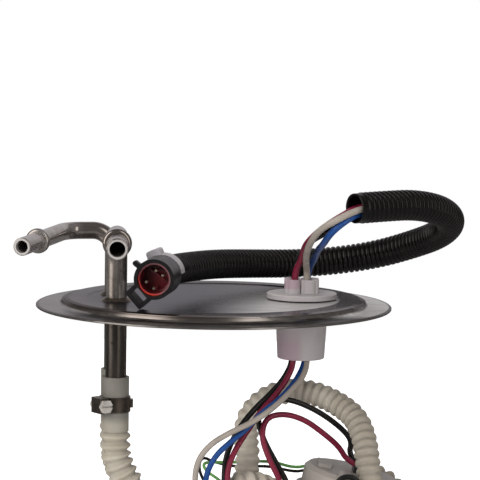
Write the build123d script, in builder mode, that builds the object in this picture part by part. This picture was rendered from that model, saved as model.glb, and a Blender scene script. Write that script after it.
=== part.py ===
"""Fuel pump module: flange with steel tubes, wires, conduit, hoses, pump unit and level sender."""
import os
from math import cos, radians, sin, sqrt, tan

from build123d import *

os.makedirs("parts", exist_ok=True)

# ---- driving sizes, millimetres ----
# flange
flange_radius = 81.0
sheet = 1.2
wall_foot_radius = flange_radius - 11.0
plateau_radius = wall_foot_radius - 3.0
plateau_top = 4.2
recess_radius = plateau_radius - 9.6
recess_depth = 0.4
floor_top = plateau_top - recess_depth
# steel tubes
supply_radius = 9.52 / 2
supply_bore = 3.4
return_radius = 7.94 / 2
return_bore = 2.7
braze_gap = 0.05
supply_foot = (37.3 - flange_radius, -15.0)
return_foot = (34.4 - flange_radius, 8.5)
tube_low = -51.0
supply_tip = (supply_foot[0] + 3.2, -65.0, 31.7)
supply_rise = 34.7
return_tip = (return_foot[0] - 36.4, -47.0, 30.5)
return_rise = 33.4
bead_over = 1.64
bead_width = 3.2
# cuffs and clamps
cuff_length = 24.8
cuff_wall = 1.35
fit = 0.02
cuff_low = -55.5
band_wide = 6.9
band_thick = 0.7
clamp_box = (4.6, 8.4)
screw_radius = 1.6
screw_out = 2.5
screw_head = 3.2
screw_head_thick = 2.0
# pass-through connector
pass_at = (flange_radius - 40.9, 0.0)
disc_radius = 16.0
disc_thick = 2.4
seal_radius = 15.4
seal_thick = 0.7
disc_low = floor_top + seal_thick
disc_top = disc_low + disc_thick
body_radius = 12.2
body_foot_radius = 10.75
body_low = -23.3
tower_top = 13.2
tower_slot = 0.3
tower_middle = pass_at[0] - 0.8
pin_columns = (tower_middle - 2.9, tower_middle + 3.0)
pin_rows = (-2.95, 2.95)
wire_radius = 1.5
wire_hole = 1.55
pin_radius = 1.0
upper_shelf = 6.0
lower_shelf = -12.0
# round connector
connector_turn = 8.0
shell_radius = 8.85
shell_bore = 7.3
shell_depth = 16.0
shell_back = 19.0
insert_radius = 7.1
insert_bore = 6.3
insert_front = 1.5
insert_floor = 1.5
collar_radius = 9.3
collar_back = 26.4
# conduit
conduit_radius = 6.9
conduit_bore = 5.3
bundle_radius = 3.7
# hoses
supply_hose_radius = 7.0
return_hose_radius = 5.75
# pump unit, in its own tilted frame: u across, v back, w up from the cap's top
tilt = 12.0
case_radius = 19.0
case_wall = 0.8
case_bore = case_radius - case_wall
case_top = -32.0
case_low = -106.0
housing_bore = case_radius + 3.6
housing_radius = housing_bore + 1.9
cap_radius = housing_bore - 0.3
cap_skirt = 12.0
housing_low = case_low - 22.0
magnet_bore = case_bore - 2.8
shaft_radius = 1.6
shaft_bore = 1.65
spigot_radius = 4.6
coupler_radius = 6.0
supply_nipple = (32.3, 19.0, -48.35)
return_nipple = (8.65, -31.5, -22.9)
nipple_reach = 29.0
# level sender
sender_u = (-housing_radius - 23.5, -housing_radius - 0.3)
sender_w = (-92.0, -50.0)
sender_half = 4.0
sender_plug_u = sender_u[1] - 14.8
pivot_u = sender_u[1] - 8.2
pivot_w = sender_w[1] - 16.0
pivot_radius = 1.5
arm_radius = 1.15
arm_length = 90.0
arm_rest = 62.0
arm_plane = -9.0
arm_bend = 4.0
float_radius = 11.5
float_length = 31.0

unit_plane = Plane(
    origin=(65.0, 0.0, -75.5),
    x_dir=(cos(radians(tilt)), 0, -sin(radians(tilt))),
    z_dir=(sin(radians(tilt)), 0, cos(radians(tilt))),
)
unit_profile = Plane(origin=unit_plane.origin, x_dir=unit_plane.x_dir, z_dir=(0, -1, 0))
unit_axis = Axis(unit_plane.origin, unit_plane.z_dir)


def unit_point(u, v, w):
    return unit_plane.from_local_coords(Vector(u, v, w))


def unit_slice(u, v, w):
    return Plane(origin=unit_point(u, v, w), x_dir=unit_plane.x_dir, z_dir=unit_plane.z_dir)


def bend_radii(points):
    runs = [Vector(*b) - Vector(*a) for a, b in zip(points, points[1:])]
    radii = []
    for before, after in zip(runs, runs[1:]):
        turn = radians(before.get_angle(after))
        radii.append(0.45 * min(before.length, after.length) / tan(turn / 2))
    return radii


connector_plane = Plane(
    origin=(-25.5, -51.0, 17.5),
    x_dir=(cos(radians(connector_turn)), -sin(radians(connector_turn)), 0),
    z_dir=(-sin(radians(connector_turn)), -cos(radians(connector_turn)), 0),
)

# ---- routes of hoses and wires ----
red_column, white_column = pin_columns
front_row, rear_row = pin_rows
conduit_route = [
    tuple(connector_plane.offset(-collar_back).origin),
    tuple(connector_plane.offset(-collar_back - 14).origin), (-12.5, 7, 17.1),
    (0.5, 29.1, 16.4), (17.5, 49, 14.7), (37, 61.9, 13.6), (58.3, 67.4, 14.7),
    (78.6, 65, 18.4), (94.9, 55.1, 24.5), (106.4, 38.7, 31), (109.9, 18.1, 38.8),
    (103.2, -0.9, 45.5), (89.6, -16.9, 49.1), (75, -28, 49), (61.5, -37, 48.5),
]
bundle_route = (
    [tuple(connector_plane.offset(-shell_back).origin)] + conduit_route[1:-2]
    + [(77.2, -25.9, 48.5), (69.8, -31.4, 47.8)]
)
cords = {
    "upper_wire_red": (wire_radius, [
        (red_column, front_row, upper_shelf), (red_column, front_row, 16), (39.6, -7.7, 22.9),
        (40.4, -16.4, 29.2), (42.7, -25.5, 33.7), (46.6, -32.9, 38.3), (50.8, -37.5, 43),
        (56.4, -36.9, 47.3), (62, -32.9, 49.1), (68.7, -29.9, 49.3),
    ]),
    "upper_wire_white": (wire_radius, [
        (white_column, front_row, upper_shelf), (white_column, front_row, 16), (41.4, -10.5, 21.3),
        (41.2, -20.5, 26.8), (42.6, -30.5, 32.9), (46.4, -38.8, 39.2), (52.2, -43.8, 44.1),
        (59.2, -42.3, 47.9), (65.9, -36.9, 49.6), (70.7, -32.8, 49.5),
    ]),
    "upper_wire_blue": (wire_radius, [
        (white_column, rear_row, upper_shelf), (white_column, rear_row, 16), (45.5, -4.5, 22.9),
        (46.5, -17.5, 28.3), (48.2, -29.1, 31.6), (50.4, -37.9, 36.6), (54.3, -42, 41.2),
        (59.9, -39.9, 44.9), (66, -36, 45.8), (70.7, -32.8, 46.1),
    ]),
    "upper_wire_black": (wire_radius, [
        (red_column, rear_row, upper_shelf), (red_column, rear_row, 16), (38.5, -2.9, 23.1),
        (41.7, -10.6, 29.3), (44.1, -19.5, 33.1), (47.6, -27.6, 35.9), (52.4, -34.4, 39.6),
        (57.7, -37, 44.3), (62.9, -34, 46.2), (68.7, -29.9, 46),
    ]),
    "supply_hose": (supply_hose_radius, [
        (*supply_foot, cuff_low), (*supply_foot, cuff_low - 9), (-42.4, -14.9, -70.2),
        (-38.4, -14.8, -78.5), (-30.8, -14.9, -88), (-18.8, -15, -94.1), (-6.4, -15, -90.8),
        (4.3, -15, -83.8), (14.8, -14, -79.7), (24.1, -8.3, -82.4), (28.5, 3, -88.6),
        (30.9, 16, -93.1), (36.3, 28, -95.2), (47, 36, -92.5), (61.2, 38.1, -87),
        (75.8, 35.8, -84.7), (86.5, 28.8, -90.2), (90.5, 21.6, -102.6),
        tuple(unit_point(supply_nipple[0], supply_nipple[1], supply_nipple[2] + 12.8)),
        tuple(unit_point(*supply_nipple)),
    ]),
    "return_hose": (return_hose_radius, [
        (*return_foot, cuff_low), (*return_foot, cuff_low - 9), (-44.5, 8, -77.5), (-38.1, 7, -88),
        (-28.2, 6, -96), (-16.1, 5, -100.5), (-3.1, 4, -99.4), (7.9, 3, -92.4), (15.2, 2.5, -82.7),
        (16.8, 4.9, -72), (15.5, 9.3, -62.3), (16.2, 12.4, -53), (24.3, 12.7, -44),
        (35.5, 11.9, -40.3), (46.9, 9.1, -40.8), (57.4, 2.6, -44.4), (65.8, -6.4, -49.6),
        (69.3, -16, -57.7), (70.3, -24.5, -67.6), (71.8, -30, -78.1),
        tuple(unit_point(return_nipple[0], return_nipple[1], return_nipple[2] + 10.9)),
        tuple(unit_point(*return_nipple)),
    ]),
    "lower_wire_white": (wire_radius, [
        (white_column, front_row, lower_shelf), (white_column, front_row, -23.5),
        (40.5, -7.9, -30.8), (34, -15.8, -37.4), (26.6, -23.4, -43.5), (17.9, -28, -48.7),
        (8.4, -29.4, -52.9), (-0.3, -29.5, -58.2), (-6.1, -29, -65.9), (-7.4, -29, -75.8),
        (-5.2, -27.5, -85.9), (-1.9, -23, -94.5), (2.6, -16, -99), (8, -8.5, -99.8),
        (12.8, -3, -103), tuple(unit_point(sender_plug_u - 1.89, 0, sender_w[1] + 6.6)),
    ]),
    "lower_wire_blue": (wire_radius, [
        (white_column, rear_row, lower_shelf), (white_column, rear_row, -23.5),
        (38.1, -4.1, -32.7), (30.8, -12.4, -40.3), (22.4, -20.4, -45.4), (16.1, -24.2, -51.8),
        (8.7, -26.1, -57.7), (1.4, -26.4, -64.5), (-2.8, -26.8, -74.5), (-2, -26.2, -85),
        (2.6, -22.1, -92.5), (8.1, -14.9, -96.4), (13.4, -7.9, -98.2), (17.8, -2.8, -102.5),
        tuple(unit_point(sender_plug_u + 2.81, 0, sender_w[1] + 6.6)),
    ]),
    "lower_wire_red": (wire_radius, [
        (red_column, front_row, lower_shelf), (red_column, front_row, -24), (33.2, -5.9, -32.3),
        (28.5, -9.7, -39.4), (22, -14.9, -45.5), (16.4, -19.3, -53.6), (10.4, -22.1, -62.4),
        (6.9, -25, -72.2), (8.4, -26.8, -83.3), (15, -27, -92.4), (25.6, -27.5, -93.4),
        (32.4, -27.5, -85.7), (31.3, -26, -75.4), (26.1, -23.1, -66.3), (22.3, -20, -56.5),
        (24.2, -16.3, -48.4), (32.4, -13.1, -46.8), (42.1, -9.9, -50.1), (50.7, -7, -56.7),
        (58.2, -4, -63.4), (62, -2.2, -70.2), (66.9, -1.8, -72.5),
    ]),
    "lower_wire_black": (wire_radius, [
        (red_column, rear_row, lower_shelf), (red_column, rear_row, -24), (32.5, -1.8, -32.6),
        (26.1, -7.3, -39.2), (18.7, -12.5, -45.6), (11.7, -16.6, -54), (6.8, -19.6, -64.2),
        (5.7, -22.2, -74.5), (6.9, -24.3, -85.9), (11.5, -27.5, -96.6), (20.8, -30.4, -101.2),
        (31.6, -31.5, -97.2), (36.9, -29.1, -87.1), (34.9, -24.8, -77.2), (29.3, -20, -68.5),
        (23, -15.2, -58), (20.1, -11.2, -47.8), (26.3, -7.5, -40.9), (36.6, -4.6, -42),
        (48.2, -1.8, -47.4), (58.3, 1.8, -54.9), (64.7, 4.1, -62), (63, 4, -68.8),
        (67, 3.4, -72.4),
    ]),
    "sender_wire_green": (0.7, [
        (50.6, 15.2, -77.2), (46.5, 22.3, -77.2), (38.9, 24.3, -79.6), (27.5, 25.6, -76.4),
        (13.9, 24.9, -77.2), (1.9, 20.9, -76.6), (-4.4, 16.6, -75.9), (-3.2, 13.9, -79.2),
        (4.4, 13.5, -84), (12.6, 13.2, -91.9), (20.3, 11, -100.2), (26.5, 5.5, -108.5),
        (25.5, 1.5, -119.4),
    ]),
    "sender_wire_black": (0.7, [
        (49.2, 14.8, -79.5), (45, 22.4, -79.6), (38.9, 26.8, -82), (26.4, 28.5, -79.3),
        (12.3, 27.7, -80.2), (0.9, 23.4, -77.2), (-4.8, 18.8, -73.3), (-6.6, 15, -78.5),
        (-2.4, 13.7, -86.9), (6, 14, -95.1), (14, 12, -102.1), (22.3, 7, -108.8),
        (23.5, 1.5, -119),
    ]),
}

for cord_name, (radius, points) in cords.items():
    radii = bend_radii(points)
    with BuildPart() as cord:
        with BuildLine() as route:
            FilletPolyline(*points, radius=radii)
        with BuildSketch(Plane(origin=route.wire() @ 0, z_dir=route.wire() % 0)):
            Circle(radius)
        sweep(path=route.wire())
    area = 3.14159265 * radius * radius
    print(cord_name, "length", round(route.wire().length, 1), "tightest", round(min(radii), 1),
          "volume ratio", round(cord.part.volume / (area * route.wire().length), 4))
    cord.part.label = cord_name
    export_step(cord.part, f"parts/{cord_name}.step")

# ---- conduit and the bundle inside it ----
with BuildPart() as conduit:
    with BuildLine() as route:
        FilletPolyline(*conduit_route, radius=bend_radii(conduit_route))
    with BuildSketch(Plane(origin=route.wire() @ 0, z_dir=route.wire() % 0)):
        Circle(conduit_radius)
        Circle(conduit_bore, mode=Mode.SUBTRACT)
    sweep(path=route.wire())
print("conduit length", round(route.wire().length, 1), "tightest", round(min(bend_radii(conduit_route)), 1))
conduit.part.label = "conduit"
export_step(conduit.part, "parts/conduit.step")

with BuildPart() as wire_bundle:
    with BuildLine() as route:
        FilletPolyline(*bundle_route, radius=bend_radii(bundle_route))
    with BuildSketch(Plane(origin=route.wire() @ 0, z_dir=route.wire() % 0)):
        Circle(bundle_radius)
    sweep(path=route.wire())
print("wire_bundle length", round(route.wire().length, 1))
wire_bundle.part.label = "wire_bundle"
export_step(wire_bundle.part, "parts/wire_bundle.step")

# ---- flange plate ----
with BuildPart() as flange_plate:
    with BuildSketch(Plane.XZ):
        with BuildLine():
            Polyline(
                (0, floor_top - sheet),
                (recess_radius + 0.6, floor_top - sheet),
                (recess_radius + 1.2, plateau_top - sheet),
                (plateau_radius - 0.9, plateau_top - sheet),
                (plateau_radius + 0.3, 2.4),
                (wall_foot_radius - 1.6, 0.5),
                (wall_foot_radius + 0.6, 0),
                (flange_radius - 0.3, 0),
                (flange_radius, 0.3),
                (flange_radius, sheet - 0.35),
                (flange_radius - 0.35, sheet),
                (wall_foot_radius + 1.8, sheet),
                (wall_foot_radius + 0.5, 1.45),
                (wall_foot_radius - 0.3, 2.1),
                (plateau_radius + 2.2, 3.3),
                (plateau_radius + 1.5, 3.35),
                (plateau_radius + 1.3, 3.75),
                (plateau_radius + 0.6, plateau_top - 0.25),
                (plateau_radius - 0.4, plateau_top),
                (recess_radius + 0.6, plateau_top),
                (recess_radius, floor_top),
                (0, floor_top),
                close=True,
            )
        make_face()
    revolve(axis=Axis.Z)
    with BuildSketch(Plane.XY):
        with Locations(supply_foot):
            Circle(supply_radius + braze_gap)
        with Locations(return_foot):
            Circle(return_radius + braze_gap)
        with Locations(pass_at):
            Circle(body_radius + 0.3)
    extrude(amount=plateau_top + 2, mode=Mode.SUBTRACT)
flange_plate.part.label = "flange_plate"
export_step(flange_plate.part, "parts/flange_plate.step")

# ---- steel tubes ----
supply_points = [(*supply_foot, tube_low), (*supply_foot, supply_rise), supply_tip]
with BuildPart() as supply_tube:
    with BuildLine() as route:
        FilletPolyline(*supply_points, radius=13.0)
    with BuildSketch(Plane(origin=route.wire() @ 0, z_dir=route.wire() % 0)):
        Circle(supply_radius)
    sweep(path=route.wire())
    tip = route.wire() @ 1
    heading = route.wire() % 1
    fillet(supply_tube.faces().sort_by_distance(tip)[0].edges(), 0.5)
    with BuildSketch(Plane(origin=tip - heading * 18.6, z_dir=heading)):
        Circle(supply_radius + bead_over)
    extrude(amount=bead_width)
    bead = supply_tube.edges().filter_by(GeomType.CIRCLE).filter_by(
        lambda e: abs(e.radius - supply_radius - bead_over) < 1e-3)
    fillet(bead, bead_width * 0.45)
    with BuildSketch(Plane(origin=route.wire() @ 0, z_dir=route.wire() % 0)):
        Circle(supply_bore)
    sweep(path=route.wire(), mode=Mode.SUBTRACT)
supply_tube.part.label = "supply_tube"
export_step(supply_tube.part, "parts/supply_tube.step")

return_points = [
    (*return_foot, tube_low + 1), (*return_foot, return_rise),
    (return_foot[0] - 21.9, return_foot[1], return_rise - 0.4), return_tip,
]
with BuildPart() as return_tube:
    with BuildLine() as route:
        FilletPolyline(*return_points, radius=[9.5, 9.0])
    with BuildSketch(Plane(origin=route.wire() @ 0, z_dir=route.wire() % 0)):
        Circle(return_radius)
    sweep(path=route.wire())
    tip = route.wire() @ 1
    heading = route.wire() % 1
    fillet(return_tube.faces().sort_by_distance(tip)[0].edges(), 0.45)
    with BuildSketch(Plane(origin=tip - heading * 21.6, z_dir=heading)):
        Circle(return_radius + bead_over)
    extrude(amount=bead_width)
    bead = return_tube.edges().filter_by(GeomType.CIRCLE).filter_by(
        lambda e: abs(e.radius - return_radius - bead_over) < 1e-3)
    fillet(bead, bead_width * 0.45)
    with BuildSketch(Plane(origin=route.wire() @ 0, z_dir=route.wire() % 0)):
        Circle(return_bore)
    sweep(path=route.wire(), mode=Mode.SUBTRACT)
return_tube.part.label = "return_tube"
export_step(return_tube.part, "parts/return_tube.step")

with BuildPart() as tube_braze_rings:
    for foot, tube_radius in ((supply_foot, supply_radius), (return_foot, return_radius)):
        with Locations((*foot, floor_top)):
            Cone(tube_radius + 2.4, tube_radius + 0.7, 1.5, align=(Align.CENTER, Align.CENTER, Align.MIN))
            Cylinder(tube_radius, 4, mode=Mode.SUBTRACT)
tube_braze_rings.part.label = "tube_braze_rings"
export_step(tube_braze_rings.part, "parts/tube_braze_rings.step")

# ---- cuffs on the hose ends, with a clamp on each ----
clamp_low = 9.0
supply_ends = [
    (Plane(origin=(*supply_foot, cuff_low)), 218.0, clamp_low),
    (unit_slice(*supply_nipple[:2], supply_nipple[2] - cuff_length), 30.0, clamp_low),
]
return_ends = [
    (Plane(origin=(*return_foot, cuff_low)), 75.0, clamp_low - 4.0),
    (unit_slice(*return_nipple[:2], return_nipple[2] - cuff_length), 235.0, clamp_low),
]
supply_cuff = supply_radius + cuff_wall
return_cuff = return_radius + cuff_wall
cuffs = {
    "supply_hose_cuffs": (supply_ends, supply_radius, supply_cuff),
    "return_hose_cuffs": (return_ends, return_radius, return_cuff),
}
for cuff_name, (ends, inner, outer) in cuffs.items():
    with BuildPart() as cuff:
        for plane, turn, rise in ends:
            with BuildSketch(plane):
                Circle(outer)
                Circle(inner, mode=Mode.SUBTRACT)
            extrude(amount=cuff_length)
    cuff.part.label = cuff_name
    export_step(cuff.part, f"parts/{cuff_name}.step")

clamp_places = [(*end, supply_cuff) for end in supply_ends] + [(*end, return_cuff) for end in return_ends]


def screw_side(plane, turn, rise, cuff_outer):
    middle = plane.offset(rise + band_wide / 2)
    outward = middle.x_dir * cos(radians(turn)) + middle.y_dir * sin(radians(turn))
    along = middle.y_dir * cos(radians(turn)) - middle.x_dir * sin(radians(turn))
    return Plane(origin=middle.origin + outward * (cuff_outer + screw_out), x_dir=outward, z_dir=along)


with BuildPart() as hose_clamp_bands:
    for plane, turn, rise, cuff_outer in clamp_places:
        low = plane.offset(rise)
        with BuildSketch(low):
            Circle(cuff_outer + band_thick)
            with PolarLocations(cuff_outer + screw_out - 0.2, 1, start_angle=turn):
                RectangleRounded(*clamp_box, 0.9)
            Circle(cuff_outer, mode=Mode.SUBTRACT)
        extrude(amount=band_wide)
        with BuildSketch(low.offset(1.8)):
            with PolarLocations(cuff_outer + 0.7, 1, start_angle=turn + 148):
                RectangleRounded(2.2, 3.6, 0.6)
            Circle(cuff_outer, mode=Mode.SUBTRACT)
        extrude(amount=3.7)
        with BuildSketch(screw_side(plane, turn, rise, cuff_outer)):
            Circle(screw_radius + 0.1)
        extrude(amount=12, both=True, mode=Mode.SUBTRACT)
hose_clamp_bands.part.label = "hose_clamp_bands"
export_step(hose_clamp_bands.part, "parts/hose_clamp_bands.step")

head_seat = clamp_box[1] / 2 + 0.05
with BuildPart() as hose_clamp_screws:
    for plane, turn, rise, cuff_outer in clamp_places:
        side = screw_side(plane, turn, rise, cuff_outer)
        with BuildSketch(side.offset(-5.4)):
            Circle(screw_radius)
        extrude(amount=5.4 + head_seat)
        with BuildSketch(side.offset(head_seat)):
            RegularPolygon(screw_head, 6)
        extrude(amount=screw_head_thick)
        with BuildSketch(side.offset(head_seat + screw_head_thick)):
            Rectangle(3 * screw_head, 0.9)
        extrude(amount=-1.0, mode=Mode.SUBTRACT)
hose_clamp_screws.part.label = "hose_clamp_screws"
export_step(hose_clamp_screws.part, "parts/hose_clamp_screws.step")

# ---- electrical pass-through ----
with BuildPart() as pass_through_body:
    with BuildSketch(Plane.XZ):
        with BuildLine():
            Polyline((0, body_low), (body_foot_radius, body_low), (body_radius, disc_low),
                     (disc_radius, disc_low), (disc_radius, disc_top), (0, disc_top), close=True)
        make_face()
    revolve(axis=Axis.Z)
    fillet(pass_through_body.edges().group_by(Axis.Z)[0], 0.7)
    fillet(pass_through_body.edges().group_by(Axis.Z)[-1], 0.5)
    flat = Plane(origin=(3.9, -body_foot_radius + 0.35, body_low), x_dir=(0.95, 0.31, 0), z_dir=(0, 0, 1))
    with BuildSketch(flat):
        Rectangle(5.2, 4, align=(Align.CENTER, Align.MAX))
    extrude(amount=disc_low - body_low - 2.5, mode=Mode.SUBTRACT)
    with BuildSketch(Plane.XY.offset(disc_top)):
        slot_u = tower_middle - pass_at[0]
        for column, reach, lean in ((red_column, -7.2, -0.1), (white_column, 8.4, 1.2)):
            with Locations((slot_u + reach / 2, 0)):
                RectangleRounded(abs(reach), 10.4, 1.6)
            for row in pin_rows:
                with Locations((column - pass_at[0] + lean, row * 1.12)):
                    Circle(3.35)
        with Locations((slot_u, 0)):
            Rectangle(tower_slot, 30, mode=Mode.SUBTRACT)
    extrude(amount=tower_top - disc_top)
    for column in pin_columns:
        for row in pin_rows:
            with Locations((column - pass_at[0], row, upper_shelf)):
                Cylinder(wire_hole, 20, align=(Align.CENTER, Align.CENTER, Align.MIN), mode=Mode.SUBTRACT)
            with Locations((column - pass_at[0], row, lower_shelf)):
                Cylinder(pin_radius + fit, 30, align=(Align.CENTER, Align.CENTER, Align.MIN), mode=Mode.SUBTRACT)
                Cylinder(wire_hole, 20, align=(Align.CENTER, Align.CENTER, Align.MAX), mode=Mode.SUBTRACT)
            with Locations((column - pass_at[0], row, tower_top)):
                Cone(wire_hole, wire_hole + 0.9, 2.6, align=(Align.CENTER, Align.CENTER, Align.MAX),
                     mode=Mode.SUBTRACT)
    with BuildSketch(Plane.XY.offset(body_low)):
        Circle(body_foot_radius - 1.7)
    extrude(amount=6.0, mode=Mode.SUBTRACT)
pass_through = pass_through_body.part.moved(Location((*pass_at, 0)))
pass_through.label = "pass_through_body"
export_step(pass_through, "parts/pass_through_body.step")

with BuildPart() as pass_through_seal:
    with BuildSketch(Plane.XY.offset(floor_top)):
        with Locations(pass_at):
            Circle(seal_radius)
            Circle(body_radius + 0.3, mode=Mode.SUBTRACT)
    extrude(amount=seal_thick)
pass_through_seal.part.label = "pass_through_seal"
export_step(pass_through_seal.part, "parts/pass_through_seal.step")

with BuildPart() as pass_through_pins:
    with BuildSketch(Plane.XY.offset(lower_shelf)):
        with Locations(*[(column, row) for column in pin_columns for row in pin_rows]):
            Circle(pin_radius)
    extrude(amount=upper_shelf - lower_shelf)
pass_through_pins.part.label = "pass_through_pins"
export_step(pass_through_pins.part, "parts/pass_through_pins.step")

# ---- round connector: z of its plane points out of its open face ----
latch_turn = -48.0
latch_edge = (-9.55, -9.8)
latch_frame = (9.7, 6.8)
latch_window = (6.4, 4.0)


def from_latch_edge(inwards):
    return (latch_edge[0] - inwards * sin(radians(latch_turn)), latch_edge[1] + inwards * cos(radians(latch_turn)))


latch_centre = from_latch_edge(latch_frame[1] / 2)
latch_window_centre = from_latch_edge(1.9 + latch_window[1] / 2)
with BuildPart() as connector_shell:
    with BuildSketch(connector_plane):
        Circle(shell_radius)
    extrude(amount=-shell_back)
    with BuildSketch(connector_plane.offset(-0.4)):
        with PolarLocations(shell_radius + 1.0, 1, start_angle=141):
            RectangleRounded(4.0, 2.2, 1.05)
    extrude(amount=-3.4)
    with BuildSketch(connector_plane.offset(-0.3)):
        with Locations(Location(latch_centre, latch_turn)):
            RectangleRounded(*latch_frame, 0.7)
    extrude(amount=-9.0)
    with BuildSketch(connector_plane):
        with Locations(Location(latch_window_centre, latch_turn)):
            Rectangle(*latch_window)
    extrude(amount=-20, mode=Mode.SUBTRACT)
    with BuildSketch(connector_plane):
        Circle(shell_bore)
    extrude(amount=-shell_depth, mode=Mode.SUBTRACT)
connector_shell.part.label = "connector_shell"
export_step(connector_shell.part, "parts/connector_shell.step")

with BuildPart() as connector_insert:
    with BuildSketch(connector_plane.offset(-insert_front)):
        Circle(insert_radius)
        Circle(insert_bore, mode=Mode.SUBTRACT)
    extrude(amount=-(shell_depth - insert_front))
    with BuildSketch(connector_plane.offset(-shell_depth)):
        Circle(insert_radius)
    extrude(amount=insert_floor)
    with BuildSketch(connector_plane.offset(-shell_depth + insert_floor)):
        with Locations(Location((-0.25, 0.85), -34.7)):
            Rectangle(7.9, 0.75)
    extrude(amount=3.4)
connector_insert.part.label = "connector_insert"
export_step(connector_insert.part, "parts/connector_insert.step")

with BuildPart() as connector_pins:
    with BuildSketch(connector_plane.offset(-shell_depth + insert_floor)):
        with Locations((0.35, 3.57), (3.35, 1.52), (-3.88, -1.49), (-0.56, -4.25)):
            Circle(0.6)
    extrude(amount=shell_depth - insert_floor - 3.0)
    fillet(connector_pins.edges().group_by(Axis.Y)[0], 0.25)
connector_pins.part.label = "connector_pins"
export_step(connector_pins.part, "parts/connector_pins.step")

with BuildPart() as connector_collar:
    with BuildSketch(connector_plane.offset(-shell_back)):
        Circle(collar_radius)
        with PolarLocations(collar_radius, 1, start_angle=112):
            RectangleRounded(4.6, 6.6, 1.2)
        with Locations((0.6, 2.7)):
            Rectangle(4 * collar_radius, 2 * collar_radius, rotation=-12.5, align=(Align.CENTER, Align.MAX),
                      mode=Mode.SUBTRACT)
        Circle(shell_radius - 2.0)
        Circle(bundle_radius + 0.3, mode=Mode.SUBTRACT)
    extrude(amount=-(collar_back - shell_back))
connector_collar.part.label = "connector_collar"
export_step(connector_collar.part, "parts/connector_collar.step")

# ---- pump unit: cap ----
port_x = 60.8
port_z = -76.0
port_radius = 4.2
port_front = -41.0
ring_section = 2.4
boss_top = -4.0
boss_low = -21.0
with BuildPart() as pump_cap:
    with BuildSketch(unit_profile):
        with BuildLine():
            Polyline((0, 0), (cap_radius - 1.8, 0), (cap_radius, -1.8), (cap_radius, -cap_skirt + 1.6),
                     (housing_radius, -cap_skirt + 1.6), (housing_radius, -cap_skirt),
                     (housing_bore - 0.1, -cap_skirt), (housing_bore - 0.1, -cap_skirt - 7),
                     (cap_radius - 2.4, -cap_skirt - 7), (cap_radius - 2.4, -3.0),
                     (coupler_radius + 3, -3.0), (coupler_radius + 3, boss_low), (coupler_radius, boss_low),
                     (coupler_radius, -10.0), (2.6, -10.0), (2.6, boss_top), (0, boss_top), close=True)
        make_face()
    revolve(axis=unit_axis)
    with BuildSketch(unit_slice(-13.5, 0, 0)):
        RectangleRounded(6.5, 14, 1.0)
    extrude(amount=1.4)
    with BuildSketch(Plane(origin=(port_x, -cap_radius + 6, port_z), x_dir=(1, 0, 0), z_dir=(0, -1, 0))):
        Circle(port_radius)
    extrude(amount=-port_front - cap_radius + 6)
    with BuildSketch(Plane(origin=(port_x, -34.2, port_z), x_dir=(1, 0, 0), z_dir=(0, -1, 0))):
        Circle(port_radius + 1.6)
    extrude(amount=1.8)
    with BuildSketch(Plane(origin=(port_x, port_front, port_z), x_dir=(1, 0, 0), z_dir=(0, -1, 0))):
        Circle(port_radius - 1.3)
    extrude(amount=-14, mode=Mode.SUBTRACT)
pump_cap.part.label = "pump_cap"
export_step(pump_cap.part, "parts/pump_cap.step")

with BuildPart() as port_ring:
    with BuildSketch(Plane.XY):
        with Locations((port_radius + ring_section / 2, 0)):
            Circle(ring_section / 2)
    revolve(axis=Axis.Y)
port_ring_placed = port_ring.part.moved(Location((port_x, -36.0 - ring_section / 2, port_z)))
port_ring_placed.label = "port_ring"
export_step(port_ring_placed, "parts/port_ring.step")

# ---- pump unit: housing ----
web_start = housing_bore - 1.6
neck_hole = 8.0
nipples = [(supply_nipple, supply_radius, supply_bore), (return_nipple, return_radius, return_bore)]
with BuildPart() as pump_housing:
    with BuildSketch(unit_slice(0, 0, housing_low)):
        Circle(housing_radius)
    extrude(amount=-cap_skirt - housing_low)
    for (u, v, w), outer, bore in nipples:
        foot = w - nipple_reach
        reach = sqrt(u * u + v * v)
        with BuildSketch(unit_slice(u, v, foot - 8)):
            Circle(outer + 2.2)
        extrude(amount=8)
        with BuildSketch(unit_slice(0, 0, foot - 8)):
            with Locations(Location((u * (reach + web_start) / (2 * reach), v * (reach + web_start) / (2 * reach)),
                                    Vector(1, 0, 0).get_signed_angle(Vector(u, v, 0)))):
                Rectangle(reach - web_start, 7.0)
        extrude(amount=8)
        with BuildSketch(unit_slice(u, v, foot)):
            Circle(outer - fit)
        extrude(amount=nipple_reach - 4.0)
    with BuildSketch(unit_slice(sender_u[1] + 1.6, 0, sender_w[0] - 2)):
        Rectangle(3.2, 16)
    extrude(amount=sender_w[1] - sender_w[0] + 4)
    with BuildSketch(unit_slice(0, 0, housing_low + 2)):
        Circle(housing_bore)
    extrude(amount=-cap_skirt - housing_low, mode=Mode.SUBTRACT)
    for (u, v, w), outer, bore in nipples:
        with BuildSketch(unit_slice(u, v, w - nipple_reach - 4)):
            Circle(bore)
        extrude(amount=nipple_reach + 4, mode=Mode.SUBTRACT)
    with BuildSketch(unit_slice(0, 0, housing_low)):
        Circle(neck_hole)
        with PolarLocations(16, 4, start_angle=45):
            SlotOverall(9, 4, rotation=90)
    extrude(amount=5, mode=Mode.SUBTRACT)
    with Locations(unit_slice(0, 0, housing_low + 14)):
        with PolarLocations(housing_radius - 2, 3, start_angle=50):
            Box(12, 8, 16, mode=Mode.SUBTRACT)
pump_housing.part.label = "pump_housing"
export_step(pump_housing.part, "parts/pump_housing.step")

# ---- pump inside the housing ----
with BuildPart() as pump_isolator:
    with BuildSketch(unit_slice(0, 0, case_top - 42)):
        Circle(housing_bore)
        Circle(case_radius, mode=Mode.SUBTRACT)
    extrude(amount=22)
pump_isolator.part.label = "pump_isolator"
export_step(pump_isolator.part, "parts/pump_isolator.step")

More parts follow.
